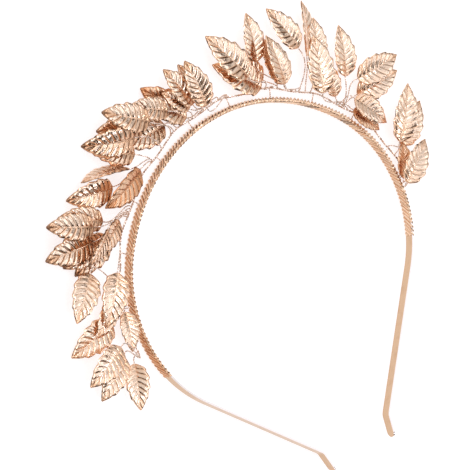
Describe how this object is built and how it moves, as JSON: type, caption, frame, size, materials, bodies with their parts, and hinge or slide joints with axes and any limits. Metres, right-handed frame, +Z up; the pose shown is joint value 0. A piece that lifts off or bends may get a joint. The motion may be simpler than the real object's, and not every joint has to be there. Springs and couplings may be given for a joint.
{
  "type": "leaf crown",
  "caption": "Open headband of flat gold-tone metal, bound with wire, with a wire vine on its outer side carrying layered sprigs of stamped, folded and serrated leaves.",
  "frame": {"origin": "middle of the crown's outline, on the surface it lies on", "axes": "+Z up from the surface through the width of the band, +Y from the open ends towards the top of the head, +X to the side with the fewer leaves"},
  "size_m": [0.1862, 0.1675, 0.0143],
  "materials": {
    "strip": "satin rose gold",
    "binding_wire": "bright rose gold wire",
    "vine_wire": "bright twisted wire",
    "leaf_sheet": "polished pale rose gold"
  },
  "bodies": {
    "root": {"band": "strip", "binding": "binding_wire", "vine": "vine_wire", "leaf_a1": "leaf_sheet", "leaf_a2": "leaf_sheet", "leaf_a3": "leaf_sheet", "leaf_a4": "leaf_sheet", "leaf_a5": "leaf_sheet", "leaf_a6": "leaf_sheet", "leaf_a7": "leaf_sheet", "leaf_a8": "leaf_sheet", "leaf_b1": "leaf_sheet", "leaf_b2": "leaf_sheet", "leaf_b3": "leaf_sheet", "leaf_b4": "leaf_sheet", "leaf_b5": "leaf_sheet", "leaf_b6": "leaf_sheet", "leaf_b7": "leaf_sheet", "leaf_c1": "leaf_sheet", "leaf_c2": "leaf_sheet", "leaf_c3": "leaf_sheet", "leaf_d1": "leaf_sheet", "leaf_d2": "leaf_sheet", "leaf_d3": "leaf_sheet", "leaf_d4": "leaf_sheet", "leaf_d5": "leaf_sheet", "leaf_d6": "leaf_sheet", "leaf_e1": "leaf_sheet", "leaf_e2": "leaf_sheet", "leaf_e3": "leaf_sheet", "leaf_e4": "leaf_sheet", "leaf_e5": "leaf_sheet", "leaf_e6": "leaf_sheet", "leaf_f1": "leaf_sheet", "leaf_f2": "leaf_sheet", "leaf_f3": "leaf_sheet", "leaf_g1": "leaf_sheet", "leaf_g2": "leaf_sheet", "leaf_g3": "leaf_sheet", "leaf_g4": "leaf_sheet", "leaf_h1": "leaf_sheet", "leaf_h2": "leaf_sheet", "leaf_h3": "leaf_sheet", "leaf_h4": "leaf_sheet", "leaf_h5": "leaf_sheet", "leaf_i1": "leaf_sheet", "leaf_i2": "leaf_sheet", "leaf_j1": "leaf_sheet", "leaf_j2": "leaf_sheet", "leaf_k1": "leaf_sheet", "leaf_k2": "leaf_sheet", "leaf_k3": "leaf_sheet", "leaf_k4": "leaf_sheet"}
  },
  "joints": []
}
